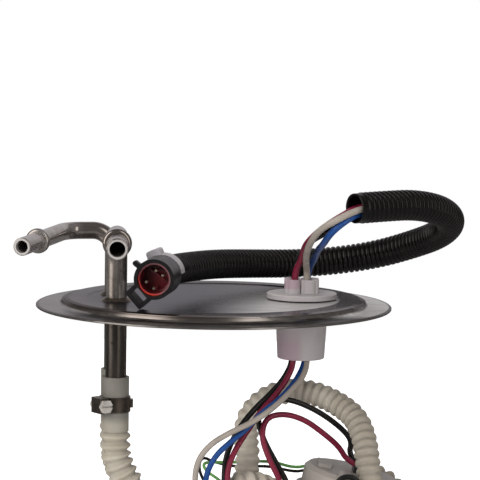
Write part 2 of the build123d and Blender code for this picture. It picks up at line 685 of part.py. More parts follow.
with BuildPart() as pump_case:
    with BuildSketch(unit_slice(0, 0, case_low)):
        Circle(case_radius)
        Circle(case_bore, mode=Mode.SUBTRACT)
    extrude(amount=case_top - case_low)
pump_case.part.label = "pump_case"
export_step(pump_case.part, "parts/pump_case.step")

spigot_bore = 3.0
ball_radius = 2.5
seat_bore = 1.7
seat_w = case_top + 5.0
ball_lift = 2.4
ball_gap = 0.05
ball_w = seat_w + sqrt(ball_radius**2 - seat_bore**2) + ball_gap
stop_w = ball_w + ball_radius + ball_lift + 0.35
spigot_top = case_top + 18.0
cap_low = case_top - 6.0
with BuildPart() as pump_end_cap:
    with BuildSketch(unit_profile):
        with BuildLine():
            Polyline((seat_bore, seat_w), (seat_bore, case_top + 2), (shaft_bore + 3, case_top - 0.5),
                     (shaft_bore + 3, case_top - 2), (shaft_bore, case_top - 2), (shaft_bore, cap_low),
                     (case_bore, cap_low), (case_bore, case_top),
                     (case_radius, case_top), (case_radius, case_top + 1.6), (spigot_radius + 2, case_top + 3.2),
                     (spigot_radius, case_top + 4), (spigot_radius, spigot_top), (spigot_bore, spigot_top),
                     (spigot_bore, seat_w), close=True)
        make_face()
    revolve(axis=unit_axis)
    with BuildSketch(unit_slice(0, 0, stop_w)):
        Rectangle(2 * spigot_bore + 1, 1.2)
    extrude(amount=1.2)
    for side_u in (-11.5, 11.5):
        with BuildSketch(unit_slice(side_u, 0, case_top + 1)):
            Circle(1.9)
        extrude(amount=5.5)
    with BuildSketch(unit_slice(0, 0, cap_low - 1)):
        with PolarLocations(10.5, 3, start_angle=30):
            Circle(1.4)
    extrude(amount=4.5, mode=Mode.SUBTRACT)
pump_end_cap.part.label = "pump_end_cap"
export_step(pump_end_cap.part, "parts/pump_end_cap.step")

with BuildPart() as check_ball:
    with Locations(unit_slice(0, 0, ball_w)):
        Sphere(ball_radius)
check_ball.part.label = "check_ball"
export_step(check_ball.part, "parts/check_ball.step")

with BuildPart() as outlet_coupler:
    with BuildSketch(unit_slice(0, 0, boss_low + 1)):
        Circle(coupler_radius)
        Circle(spigot_radius, mode=Mode.SUBTRACT)
    extrude(amount=5.5)
outlet_coupler.part.label = "outlet_coupler"
export_step(outlet_coupler.part, "parts/outlet_coupler.step")

rotor_gap = 0.5
cover_top = case_low + 3.6
comm_radius = 6.0
comm_top = cap_low - 1.0
comm_low = comm_top - 6.5
core_radius = magnet_bore - 0.8
core_top = case_top - 17.0
core_low = case_low + 16.0
with BuildPart() as pump_armature:
    with BuildSketch(unit_profile):
        with BuildLine():
            Polyline((0, case_top - 2.6), (shaft_radius, case_top - 2.6), (shaft_radius, comm_top),
                     (comm_radius, comm_top), (comm_radius, comm_low), (3.4, comm_low), (3.4, core_top),
                     (core_radius, core_top), (core_radius, core_low), (3.4, core_low), (3.4, core_low - 3),
                     (shaft_radius, core_low - 3), (shaft_radius, case_low - 2.5), (0, case_low - 2.5), close=True)
        make_face()
    revolve(axis=unit_axis)
    with BuildSketch(unit_slice(0, 0, core_low)):
        with PolarLocations(core_radius - 1, 9):
            Rectangle(4.2, 1.6)
    extrude(amount=core_top - core_low, mode=Mode.SUBTRACT)
pump_armature.part.label = "pump_armature"
export_step(pump_armature.part, "parts/pump_armature.step")

with BuildPart() as pump_impeller:
    with BuildSketch(unit_slice(0, 0, cover_top + rotor_gap)):
        Circle(case_bore - 3.0)
        Circle(shaft_radius, mode=Mode.SUBTRACT)
        with PolarLocations(case_bore - 3.8, 20):
            Rectangle(3.0, 1.5, mode=Mode.SUBTRACT)
    extrude(amount=3.8)
pump_impeller.part.label = "pump_impeller"
export_step(pump_impeller.part, "parts/pump_impeller.step")

with BuildPart() as pump_inlet_cover:
    with BuildSketch(unit_profile):
        with BuildLine():
            Polyline((shaft_bore, cover_top), (case_bore, cover_top), (case_bore, case_low),
                     (case_radius, case_low), (case_radius, case_low - 4), (shaft_bore, case_low - 4), close=True)
        make_face()
    revolve(axis=unit_axis)
    with BuildSketch(unit_slice(0, 0, case_low - 4)):
        Circle(5.2)
        Circle(shaft_bore, mode=Mode.SUBTRACT)
    extrude(amount=-2.5)
    with BuildSketch(unit_slice(0, 0, case_low - 10)):
        with Locations((11, 0)):
            Circle(2.4)
    extrude(amount=20, mode=Mode.SUBTRACT)
pump_inlet_cover.part.label = "pump_inlet_cover"
export_step(pump_inlet_cover.part, "parts/pump_inlet_cover.step")

with BuildPart() as pump_magnets:
    with BuildSketch(unit_slice(0, 0, core_low + 2)):
        Circle(case_bore)
        Circle(magnet_bore, mode=Mode.SUBTRACT)
        Rectangle(11, 4 * case_bore, mode=Mode.SUBTRACT)
    extrude(amount=core_top - core_low - 3)
pump_magnets.part.label = "pump_magnets"
export_step(pump_magnets.part, "parts/pump_magnets.step")

with BuildPart() as pump_brushes:
    with BuildSketch(unit_slice(0, 0, comm_low + 1)):
        Rectangle(2 * comm_radius + 12, 4)
        Circle(comm_radius + 0.06, mode=Mode.SUBTRACT)
    extrude(amount=cap_low - comm_low - 1)
pump_brushes.part.label = "pump_brushes"
export_step(pump_brushes.part, "parts/pump_brushes.step")

# ---- strainer ----
neck_top = case_low - 4
neck_low = neck_top - 21
neck_bore = 5.2
neck_radius = neck_bore + 2.4
sock_size = (62.0, 32.0)
sock_thick = 8.0
with BuildPart() as strainer_neck:
    with BuildSketch(unit_profile):
        with BuildLine():
            Polyline((neck_bore, neck_top - 2.5), (neck_bore, neck_top), (15.5, neck_top), (15.5, neck_top - 3.6),
                     (neck_radius, neck_top - 6.2), (neck_radius, neck_low), (neck_bore, neck_low),
                     (neck_bore, neck_top - 7), (neck_bore + 3.2, neck_top - 2.5), close=True)
        make_face()
    revolve(axis=unit_axis)
    with BuildSketch(unit_slice(0, 0, neck_top - 5)):
        with Locations((11, 0)):
            Circle(2.4)
    extrude(amount=8, mode=Mode.SUBTRACT)
strainer_neck.part.label = "strainer_neck"
export_step(strainer_neck.part, "parts/strainer_neck.step")

with BuildPart() as strainer_sock:
    with BuildSketch(unit_slice(0, 0, neck_low - sock_thick)):
        RectangleRounded(*sock_size, 8)
    extrude(amount=sock_thick)
    fillet(strainer_sock.edges().filter_by(lambda e: e.length > 20), 3.0)
    with BuildSketch(unit_slice(0, 0, neck_low - 2)):
        Circle(neck_bore)
    extrude(amount=4, mode=Mode.SUBTRACT)
strainer_sock.part.label = "strainer_sock"
export_step(strainer_sock.part, "parts/strainer_sock.step")

# ---- plugs ----
with BuildPart() as pump_plug:
    with BuildSketch(unit_slice(4.5, 0.8, 0)):
        RectangleRounded(9.5, 11.0, 1.0)
    extrude(amount=6.0)
    with BuildSketch(unit_slice(9.8, 0.8, 0)):
        Rectangle(1.4, 4.0)
    extrude(amount=7.2)
pump_plug.part.label = "pump_plug"
export_step(pump_plug.part, "parts/pump_plug.step")

with BuildPart() as sender_plug:
    with BuildSketch(unit_slice(sender_plug_u, 0, sender_w[1])):
        RectangleRounded(10.8, 2 * sender_half - 0.6, 0.8)
    extrude(amount=8.0)
sender_plug.part.label = "sender_plug"
export_step(sender_plug.part, "parts/sender_plug.step")

# ---- level sender ----
card_thick = 0.8
with BuildPart() as sender_housing:
    with BuildSketch(unit_profile.offset(-sender_half)):
        with Locations(((sender_u[0] + sender_u[1]) / 2, (sender_w[0] + sender_w[1]) / 2)):
            RectangleRounded(sender_u[1] - sender_u[0], sender_w[1] - sender_w[0], 1.5)
    extrude(amount=2 * sender_half)
    with BuildSketch(unit_profile.offset(sender_half)):
        with Locations((pivot_u, pivot_w)):
            Circle(pivot_radius + 0.06)
    extrude(amount=-2 * sender_half, mode=Mode.SUBTRACT)
    with BuildSketch(unit_profile.offset(sender_half)):
        with Locations(((sender_u[0] + sender_u[1]) / 2 - 1.6, sender_w[0] + 8)):
            SlotOverall(14, 4)
    extrude(amount=-2 * sender_half, mode=Mode.SUBTRACT)
sender_housing.part.label = "sender_housing"
export_step(sender_housing.part, "parts/sender_housing.step")

with BuildPart() as sender_card:
    with BuildSketch(unit_profile.offset(sender_half)):
        with Locations((pivot_u - 4.6, pivot_w - 0.5)):
            RectangleRounded(17, 24, 0.8)
        with Locations((pivot_u, pivot_w)):
            Circle(pivot_radius + 1.0, mode=Mode.SUBTRACT)
    extrude(amount=card_thick)
sender_card.part.label = "sender_card"
export_step(sender_card.part, "parts/sender_card.step")

pivot = unit_point(pivot_u, 0, pivot_w)
lever_plane = Plane(origin=(pivot.X, 0, pivot.Z), x_dir=(-cos(radians(arm_rest)), 0, -sin(radians(arm_rest))),
                    z_dir=(0, -1, 0))
hub_low = sender_half + card_thick + 0.5
with BuildPart() as sender_wiper:
    with BuildSketch(lever_plane.offset(hub_low)):
        Circle(4.2)
        with Locations((6, 0)):
            Rectangle(13, 4.6)
        with Locations((1.0, -7.0)):
            RectangleRounded(2.6, 9.0, 0.8)
    extrude(amount=-arm_plane - arm_radius - hub_low)
    with BuildSketch(lever_plane.offset(-arm_plane - arm_radius)):
        with Locations((2.2, 0), (10.8, 0)):
            Rectangle(2.6, 4.6)
    extrude(amount=2 * arm_radius + 0.4)
    with BuildSketch(Plane(origin=lever_plane.from_local_coords(Vector(-2.0, 0, -arm_plane)),
                           z_dir=lever_plane.x_dir)):
        Circle(arm_radius + fit)
    extrude(amount=20, mode=Mode.SUBTRACT)
    with BuildSketch(lever_plane.offset(-sender_half - 0.4)):
        Circle(pivot_radius)
    extrude(amount=hub_low + sender_half + 0.4)
sender_wiper.part.label = "sender_wiper"
export_step(sender_wiper.part, "parts/sender_wiper.step")

float_front = arm_plane + arm_bend + 0.5
arm_y_end = -(float_front + float_length + 1.5)
with BuildPart() as float_arm:
    with BuildLine() as route:
        FilletPolyline(
            lever_plane.from_local_coords(Vector(-2, 0, -arm_plane)),
            lever_plane.from_local_coords(Vector(arm_length, 0, -arm_plane)),
            lever_plane.from_local_coords(Vector(arm_length, 0, arm_y_end)),
            radius=arm_bend,
        )
    with BuildSketch(Plane(origin=route.wire() @ 0, z_dir=route.wire() % 0)):
        Circle(arm_radius)
    sweep(path=route.wire())
float_arm.part.label = "float_arm"
export_step(float_arm.part, "parts/float_arm.step")

with BuildPart() as level_float:
    with BuildSketch(lever_plane.offset(-(float_front + float_length))):
        with Locations((arm_length, 0)):
            Circle(float_radius)
    extrude(amount=float_length)
    fillet(level_float.edges().filter_by(GeomType.CIRCLE), 1.5)
    with BuildSketch(lever_plane.offset(-60)):
        with Locations((arm_length, 0)):
            Circle(arm_radius + fit)
    extrude(amount=120, mode=Mode.SUBTRACT)
level_float.part.label = "level_float"
export_step(level_float.part, "parts/level_float.step")
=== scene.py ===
from math import cos, pi, radians, sin
import bpy
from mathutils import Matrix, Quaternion, Vector


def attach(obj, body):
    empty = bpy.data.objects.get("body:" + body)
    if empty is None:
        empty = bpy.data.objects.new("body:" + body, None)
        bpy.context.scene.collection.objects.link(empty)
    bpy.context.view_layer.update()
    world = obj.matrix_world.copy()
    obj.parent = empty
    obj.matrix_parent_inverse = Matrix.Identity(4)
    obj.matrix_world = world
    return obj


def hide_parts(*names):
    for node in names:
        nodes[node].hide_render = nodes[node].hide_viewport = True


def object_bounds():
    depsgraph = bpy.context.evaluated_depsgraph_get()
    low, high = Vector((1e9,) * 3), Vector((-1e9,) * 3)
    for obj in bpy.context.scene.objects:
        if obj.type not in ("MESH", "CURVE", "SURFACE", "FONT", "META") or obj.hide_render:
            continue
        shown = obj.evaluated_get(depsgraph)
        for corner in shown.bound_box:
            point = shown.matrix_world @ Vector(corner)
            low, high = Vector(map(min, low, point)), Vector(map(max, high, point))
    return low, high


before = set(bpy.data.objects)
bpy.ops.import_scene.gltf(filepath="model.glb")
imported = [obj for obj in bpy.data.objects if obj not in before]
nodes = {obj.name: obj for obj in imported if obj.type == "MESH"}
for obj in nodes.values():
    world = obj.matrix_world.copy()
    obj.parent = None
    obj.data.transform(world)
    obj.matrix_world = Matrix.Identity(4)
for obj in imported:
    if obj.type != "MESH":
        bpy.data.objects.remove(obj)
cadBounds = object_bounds()
module = "module"
print("frame loaded")

view = {
    "place": (0.0115, -0.9493, 0.1186), "aim": (0.0115, 0.0, 0.0305), "roll": 0.83,
    "focalPixels": 2092.0, "picturePixels": 480, "sensor": 36.0,
}
cameraData = bpy.data.cameras.new("camera")
camera = bpy.data.objects.new("camera", cameraData)
bpy.context.scene.collection.objects.link(camera)
cameraData.sensor_width = view["sensor"]
cameraData.lens = view["focalPixels"] / view["picturePixels"] * view["sensor"]
cameraData.clip_start = 0.01
cameraData.clip_end = 50
camera.location = view["place"]
towards = Vector(view["aim"]) - Vector(view["place"])
camera.rotation_mode = "QUATERNION"
camera.rotation_quaternion = towards.to_track_quat("-Z", "Y") @ Quaternion((0, 0, 1), radians(view["roll"]))
bpy.context.scene.camera = camera
print("camera placed")


# a node's output, which can stand in an expression like a number
class Signal:
    def __init__(self, finish, socket):
        self.finish = finish
        self.socket = socket

    def calc(self, operation, *others):
        return self.finish.add("ShaderNodeMath", {"operation": operation}, dict(enumerate((self, *others))))

    def __add__(self, other):
        return self.calc("ADD", other)

    def __sub__(self, other):
        return self.calc("SUBTRACT", other)

    def __mul__(self, other):
        return self.calc("MULTIPLY", other)

    def __truediv__(self, other):
        return self.calc("DIVIDE", other)

    def __pow__(self, other):
        return self.calc("POWER", other)

    def __neg__(self):
        return self.calc("MULTIPLY", -1.0)

    def __rsub__(self, other):
        return self.finish.add("ShaderNodeMath", {"operation": "SUBTRACT"}, {0: other, 1: self})

    __radd__ = __add__
    __rmul__ = __mul__

    def clamp(self):
        return self.calc("MAXIMUM", 0.0).calc("MINIMUM", 1.0)

    def span(self, low, high):  # 0 up to low, 1 from high on
        return ((self - low) / (high - low)).clamp()


# a material and the nodes that the finishes are made of; base and roughness stand where nothing is linked
class Finish:
    def __init__(self, name, base, roughness, metallic=0.0, sockets=None):
        self.material = bpy.data.materials.new(name)
        self.material.use_nodes = True
        self.tree = self.material.node_tree
        self.shader = self.tree.nodes["Principled BSDF"]
        self.shader.inputs["Base Color"].default_value = base
        self.shader.inputs["Roughness"].default_value = roughness
        self.shader.inputs["Metallic"].default_value = metallic
        for socket, value in (sockets or {}).items():
            self.shader.inputs[socket].default_value = value

    def feed(self, socket, value):
        if isinstance(value, Signal):
            self.tree.links.new(value.socket, socket)
        else:
            socket.default_value = value

    def add(self, kind, settings=None, inputs=None, out=0):
        node = self.tree.nodes.new(kind)
        for key, value in (settings or {}).items():
            setattr(node, key, value)
        for key, value in (inputs or {}).items():
            self.feed(node.inputs[key], value)
        return Signal(self, node.outputs[out])

    def spot(self, scale):
        here = self.add("ShaderNodeTexCoord", out="Object")
        return self.add("ShaderNodeVectorMath", {"operation": "MULTIPLY"}, {0: here, 1: scale})

    def noise(self, scale, detail=3.0, roughness=0.55, stretch=(1, 1, 1)):
        values = {"Vector": self.spot(stretch), "Scale": scale, "Detail": detail, "Roughness": roughness}
        return self.add("ShaderNodeTexNoise", {"noise_dimensions": "3D"}, values)

    def axis(self, letter):  # millimetres along one axis of the part
        return self.add("ShaderNodeSeparateXYZ", {}, {0: self.spot(millimetres)}, out=letter)

    def distance(self, point):  # millimetres from a point
        values = {0: self.spot(millimetres), 1: point}
        return self.add("ShaderNodeVectorMath", {"operation": "DISTANCE"}, values, out="Value")

    def mix(self, mask, first, second):
        return self.add("ShaderNodeMix", {"data_type": "RGBA"}, {0: mask, 6: first, 7: second}, out=2)

    def set(self, socket, value):
        self.feed(self.shader.inputs[socket], value)

    def bump(self, height, strength, distance):
        values = {"Strength": strength, "Distance": distance, "Height": height}
        self.set("Normal", self.add("ShaderNodeBump", {}, values))


millimetres = (1000, 1000, 1000)


# red, green and blue from 0 to 255, as linear light
def colour(r, g, b):
    linear = [((c / 255 + 0.055) / 1.055) ** 2.4 if c > 10 else c / 255 / 12.92 for c in (r, g, b)]
    return (*linear, 1.0)


worn = {
    "glossy": 0.88, "dull": 1.15, "patches": (4.0, 0.6), "patchMask": (0.35, 0.68),
    "finer": 9, "grain": (3.0, 0.6), "grainDepth": 0.00015,
}


# one shade with lighter and darker patches, a varied gloss and a fine grain
def plain(name, base, roughness, metallic=0.0, spread=0.18, scale=120.0, grain=0.1, sockets=None):
    finish = Finish(name, base, roughness, metallic, sockets)
    dark = (*[c * (1 - spread) for c in base[:3]], 1.0)
    light = (*[min(1.0, c * (1 + spread)) for c in base[:3]], 1.0)
    glossy, dull = roughness * worn["glossy"], min(1.0, roughness * worn["dull"])
    patches = finish.noise(scale, *worn["patches"]).span(*worn["patchMask"])
    finish.set("Base Color", finish.mix(patches, dark, light))
    finish.set("Roughness", glossy + patches * (dull - glossy))
    finish.bump(finish.noise(scale * worn["finer"], *worn["grain"]), grain, worn["grainDepth"])
    return finish.material


# how much light goes into a nylon, and how far in metres, a little less for green and blue light
def glow(weight, depth=0.003):
    return {"Subsurface Weight": weight, "Subsurface Scale": depth, "Subsurface Radius": (1.0, 0.92, 0.8)}


# brushed steel: painted shade on the left of the plateau and a darker painted shade on its wall except to the
# right, satin on its right, paler on the sides of the rim
plate = {
    "worn": (colour(164, 161, 160), colour(208, 204, 202)),
    # painted shade: darker, bluer colours for the plateau's left, and a darker colour for the wall
    "paintedShadeColours": (colour(130, 131, 137), colour(156, 156, 161)),
    "wall": colour(132, 124, 119), "paintedWallShare": 0.8,
    "edgeTint": (0.46, 0.46, 0.48, 1.0),
    "brush": (60.0, 5.0, 0.6, (1, 6, 6)), "brushMask": (0.3, 0.75),
    "rightHalf": (-8.0, 26.0), "farRight": (44.0, 58.0),  # millimetres across
    "paintedShadeEnds": (50.0, 62.0), "satinEnds": (56.0, 58.0),  # millimetres out from the middle
    "wallStarts": (65.5, 67.0), "wallEnds": (69.2, 70.0), "rimStarts": (69.5, 70.5), "rimEnds": (79.4, 80.2),
    "satinBack": (-30.0, 40.0), "rimSides": (-50.0, -36.0),  # millimetres back
    "roughness": 0.16, "brushRoughness": 0.12, "satinRoughness": 0.2,
    "satinPale": 0.85, "leftRimPale": 0.25, "rightRimPale": 0.95,
    "grain": (900.0, 3.0, 0.6, (1, 8, 8)), "grainBump": (0.06, 0.0001),
}
flange = Finish("flangeSteel", colour(196, 192, 190), 0.2, metallic=1.0,
                sockets={"Specular Tint": plate["edgeTint"]})
across, back = flange.axis("X"), flange.axis("Y")
outward = (across ** 2 + back ** 2) ** 0.5
toRight = across.span(*plate["rightHalf"])
brushed = flange.noise(*plate["brush"])
# painted shade on the plateau's left, inside its edge
paintedShade = (1 - toRight) * (1 - outward.span(*plate["paintedShadeEnds"]))
# painted shade on the wall, except to the right
wall = outward.span(*plate["wallStarts"]) * (1 - outward.span(*plate["wallEnds"])) * (1 - toRight)
satin = toRight * (1 - outward.span(*plate["satinEnds"])) * (1 - back.span(*plate["satinBack"]))
rim = outward.span(*plate["rimStarts"]) * (1 - outward.span(*plate["rimEnds"]))
rim = rim * back.span(*plate["rimSides"])
rimPale = (1 - toRight) * plate["leftRimPale"] + across.span(*plate["farRight"]) * plate["rightRimPale"]
plateShade = flange.mix(paintedShade, flange.mix(brushed.span(*plate["brushMask"]), *plate["worn"]),
                        flange.mix(brushed, *plate["paintedShadeColours"]))
flange.set("Base Color", flange.mix(wall * plate["paintedWallShare"], plateShade, plate["wall"]))
brushDull, satinDull = brushed * plate["brushRoughness"], satin * plate["satinRoughness"]
flange.set("Roughness", plate["roughness"] + brushDull + satinDull)
flange.set("Metallic", 1 - satin * plate["satinPale"] - rim * rimPale)
flange.bump(flange.noise(*plate["grain"]), *plate["grainBump"])

# drawn steel: streaks along the tubes, flecks, painted shade under the flange, a painted sheen that makes the
# lying stretch paler, bare metal on the cut ends
pipe = {
    "upright": (colour(142, 134, 127), colour(198, 192, 187)), "uprightMask": (0.34, 0.66),
    # painted sheen: paler colours for the lying stretch
    "lying": (colour(190, 184, 182), colour(212, 207, 205)), "lyingMask": (0.3, 0.7), "paintedSheenShare": 0.7,
    "fleck": colour(104, 96, 88), "fleckMask": (0.55, 0.72),
    # painted shade: the dark colour under the flange
    "below": colour(60, 56, 52), "paintedShadeBelowShare": 0.72, "cutEdge": colour(176, 171, 167),
    "alongUpright": (260.0, 4.0, 0.6, (1, 1, 0.12)), "alongLying": (330.0, 3.0, 0.6, (0.1, 1, 1)),
    "lyingFrom": (27.0, 31.0), "standingFrom": (2.0, 6.0), "belowTo": (-6.0, 1.0),  # millimetres up
    "leftLimb": (60.0, 66.0),  # millimetres to the left
    "noses": [
        {"middle": (-40.5, -65.0, 31.7), "inner": (3.2, 3.5), "outer": (3.9, 4.5)},
        {"middle": (-83.0, -47.0, 30.5), "inner": (2.6, 2.9), "outer": (3.3, 3.8)},
    ],
    "roughness": 0.16, "streakRoughness": 0.16, "lyingShine": 0.06,
    "edgePale": 0.7, "limbPale": 0.12, "standingPale": 0.15,
    "grain": (700.0, 3.0, 0.7), "grainBump": (0.04, 0.0002),
}
tube = Finish("tubeSteel", colour(140, 133, 126), 0.3, metallic=1.0)
height = tube.axis("Z")
lying = height.span(*pipe["lyingFrom"])
standing = height.span(*pipe["standingFrom"]) * (1 - lying)
leftLimb = (-tube.axis("X")).span(*pipe["leftLimb"]) * lying
lyingStreak = tube.noise(*pipe["alongLying"])
streak = tube.noise(*pipe["alongUpright"]) * (1 - lying) + lyingStreak * lying
fleck = tube.noise(*pipe["grain"])
cutEdge = 0
for nose in pipe["noses"]:
    away = tube.distance(nose["middle"])
    cutEdge = cutEdge + away.span(*nose["inner"]) * (1 - away.span(*nose["outer"]))
streaked = tube.mix(streak.span(*pipe["uprightMask"]), *pipe["upright"])
tubeShade = tube.mix(fleck.span(*pipe["fleckMask"]), streaked, pipe["fleck"])
# painted sheen: the lying stretch made paler
tubeShade = tube.mix(lying * pipe["paintedSheenShare"], tubeShade,
                     tube.mix(lyingStreak.span(*pipe["lyingMask"]), *pipe["lying"]))
# painted shade: the tube made darker under the flange
tubeShade = tube.mix((1 - height.span(*pipe["belowTo"])) * pipe["paintedShadeBelowShare"], tubeShade, pipe["below"])
tube.set("Base Color", tube.mix(cutEdge, tubeShade, pipe["cutEdge"]))
paler = leftLimb * pipe["limbPale"] + standing * pipe["standingPale"]
tube.set("Metallic", 1 - cutEdge * pipe["edgePale"] - paler)
tube.set("Roughness", pipe["roughness"] + streak * pipe["streakRoughness"] - lying * pipe["lyingShine"])
tube.bump(fleck, *pipe["grainBump"])

# milky nylon with a painted red glow from the red wire beside it, above and below the disc
milk = {
    "shades": (colour(150, 144, 143), colour(163, 157, 157)), "cloud": (60.0,),
    # painted light: the colour of the red wire's glow
    "paintedRedGlow": colour(150, 128, 136), "paintedRedGlowShare": 0.8,
    "redSide": (38.0, 41.0), "aboveDisc": (8.6, 9.4), "belowDisc": (6.0, 16.0),
    "grain": (500.0,), "grainBump": (0.05, 0.0001),
}
passNylon = Finish("whiteNylon", colour(157, 151, 151), 0.4, sockets=glow(0.15))
height = passNylon.axis("Z")
besideRed = 1 - passNylon.axis("X").span(*milk["redSide"])
offDisc = (height.span(*milk["aboveDisc"]) + (-height).span(*milk["belowDisc"])).clamp()
milky = passNylon.mix(passNylon.noise(*milk["cloud"]), *milk["shades"])
# painted red glow from the red wire, above and below the disc
passNylon.set("Base Color", passNylon.mix(besideRed * offDisc * milk["paintedRedGlowShare"], milky, milk["paintedRedGlow"]))
passNylon.bump(passNylon.noise(*milk["grain"]), *milk["grainBump"])

# dark red plastic with painted light on its rim: a painted orange glow where light comes through at its lower
# left edge, and a painted pale highlight round the rest
insert = {
    "shades": (colour(64, 8, 18), colour(96, 16, 24)), "cloud": (300.0,),
    # painted light: the rim's pale highlight and its orange glow at the lower left
    "rim": (colour(112, 74, 76), colour(182, 50, 36)),
    "middle": (-25.5, 17.5), "rimFrom": (6.2, 6.8), "lowLeft": (1.5, 7.0),
    "grain": (1800.0,), "grainBump": (0.05, 0.0001),
}
redInsert = Finish("redPlastic", colour(84, 12, 20), 0.3)
sideways = redInsert.axis("X") - insert["middle"][0]
upwards = redInsert.axis("Z") - insert["middle"][1]
insertRim = ((sideways ** 2 + upwards ** 2) ** 0.5).span(*insert["rimFrom"])
# painted light: orange glow at the rim's lower left, pale highlight elsewhere
paintedRimLight = redInsert.mix((-(sideways + upwards)).span(*insert["lowLeft"]), *insert["rim"])
insertShade = redInsert.mix(redInsert.noise(*insert["cloud"]), *insert["shades"])
redInsert.set("Base Color", redInsert.mix(insertRim, insertShade, paintedRimLight))
redInsert.bump(redInsert.noise(*insert["grain"]), *insert["grainBump"])

# clear nylon, paler where it grips the hose
cuff = {
    "shades": (colour(108, 105, 98), colour(124, 120, 112)), "cloud": (120.0,),
    "overHose": colour(150, 144, 132), "gripFrom": (48.5, 52.0), "alpha": 0.84, "cloudAlpha": 0.1,
}
clearCuff = Finish("clearCuff", colour(128, 124, 116), 0.4, sockets=glow(0.1))
cuffCloud = clearCuff.noise(*cuff["cloud"])
overHose = (-clearCuff.axis("Z")).span(*cuff["gripFrom"])
cuffShade = clearCuff.mix(cuffCloud, *cuff["shades"])
clearCuff.set("Base Color", clearCuff.mix(overHose, cuffShade, cuff["overHose"]))
clearCuff.set("Alpha", cuff["alpha"] + cuffCloud * cuff["cloudAlpha"])

# translucent nylon, painted light making it paler about the middle and painted shade making it darker to the
# right, as on the arms of the return hose's arch
hose = {
    "shades": (colour(156, 147, 133), colour(170, 163, 150)), "cloud": (70.0,), "cloudMask": (0.3, 0.7),
    # painted light: the paler colour about the middle
    "pale": colour(188, 179, 166), "paintedHoseLightShare": 0.7, "paintedHoseLightFrom": (-5.0, 5.0), "paintedHoseLightTo": (40.0, 56.0),
    # painted shade: the darker colour to the right
    "dark": colour(134, 126, 114), "paintedHoseShadeShare": 0.7, "paintedHoseShadeFrom": (52.0, 66.0),
    "roughness": 0.28, "cloudRoughness": 0.14, "grain": (1400.0,), "grainBump": (0.05, 0.0001),
}
hoseNylon = Finish("hoseNylon", colour(160, 153, 140), 0.4, sockets=glow(0.35, 0.004))
across = hoseNylon.axis("X")
cloud = hoseNylon.noise(*hose["cloud"])
# painted light about the middle
pale = across.span(*hose["paintedHoseLightFrom"]) * (1 - across.span(*hose["paintedHoseLightTo"])) * hose["paintedHoseLightShare"]
hoseShade = hoseNylon.mix(pale, hoseNylon.mix(cloud.span(*hose["cloudMask"]), *hose["shades"]), hose["pale"])
# painted shade to the right
hoseShade = hoseNylon.mix(across.span(*hose["paintedHoseShadeFrom"]) * hose["paintedHoseShadeShare"], hoseShade, hose["dark"])
hoseNylon.set("Base Color", hoseShade)
hoseNylon.set("Roughness", hose["roughness"] + cloud * hose["cloudRoughness"])
hoseNylon.bump(hoseNylon.noise(*hose["grain"]), *hose["grainBump"])

# shiny black plastic with faint scuffs
loom = {
    "shades": (colour(4, 3, 3), colour(12, 10, 10)), "scuff": (240.0, 4.0, 0.65), "scuffMask": (0.4, 0.75),
    "roughness": 0.16, "scuffRoughness": 0.2, "grain": (2200.0,), "grainBump": (0.08, 0.0001),
}
conduitBlack = Finish("conduitBlack", colour(18, 16, 16), 0.28)
scuff = conduitBlack.noise(*loom["scuff"])
conduitBlack.set("Base Color", conduitBlack.mix(scuff.span(*loom["scuffMask"]), *loom["shades"]))
conduitBlack.set("Roughness", loom["roughness"] + scuff * loom["scuffRoughness"])
conduitBlack.bump(conduitBlack.noise(*loom["grain"]), *loom["grainBump"])

